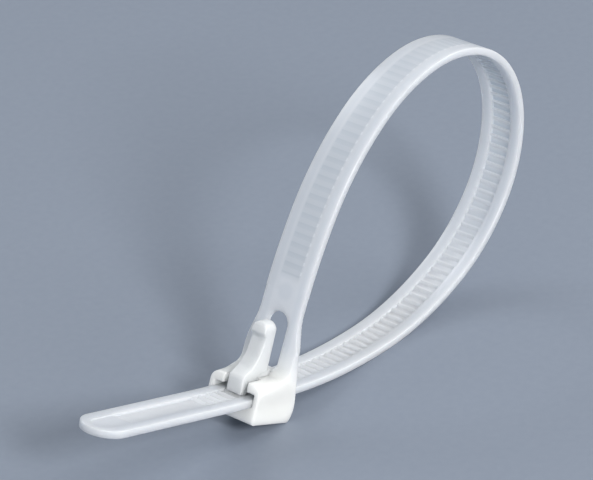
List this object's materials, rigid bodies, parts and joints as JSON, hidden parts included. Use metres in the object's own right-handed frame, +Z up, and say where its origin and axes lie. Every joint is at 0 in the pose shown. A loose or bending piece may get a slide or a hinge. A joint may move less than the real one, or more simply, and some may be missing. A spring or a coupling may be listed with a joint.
{
  "type": "releasable cable tie",
  "caption": "Releasable cable tie in translucent white nylon, threaded into a loop, with a toothed strap, a slotted head and a thumb lever that lifts the pawl.",
  "frame": {"origin": "on the ground under the middle of the tie's length, on the strap's centre plane", "axes": "+X from the tail towards the far side of the loop, +Y across the strap, +Z up from the ground that the head's heel and the strap's underside rest on"},
  "size_m": [0.1006, 0.0098, 0.0456],
  "materials": {
    "strap_nylon": "natural nylon, cool white and slightly milky where thin, satin moulded surface",
    "lever_nylon": "natural nylon, warmer and more opaque where thick, satin moulded surface"
  },
  "bodies": {
    "tie": {"strap_and_head": "strap_nylon"},
    "lever": {"release_lever": "lever_nylon"}
  },
  "joints": [
    {"name": "release_hinge", "type": "hinge", "parent": "tie", "child": "lever", "pos_m": [-0.01236, 0, 0.00764], "axis": [0, 1, 0], "range_deg": [0, 12], "stiffness_Nm_per_rad": 0.004}
  ]
}
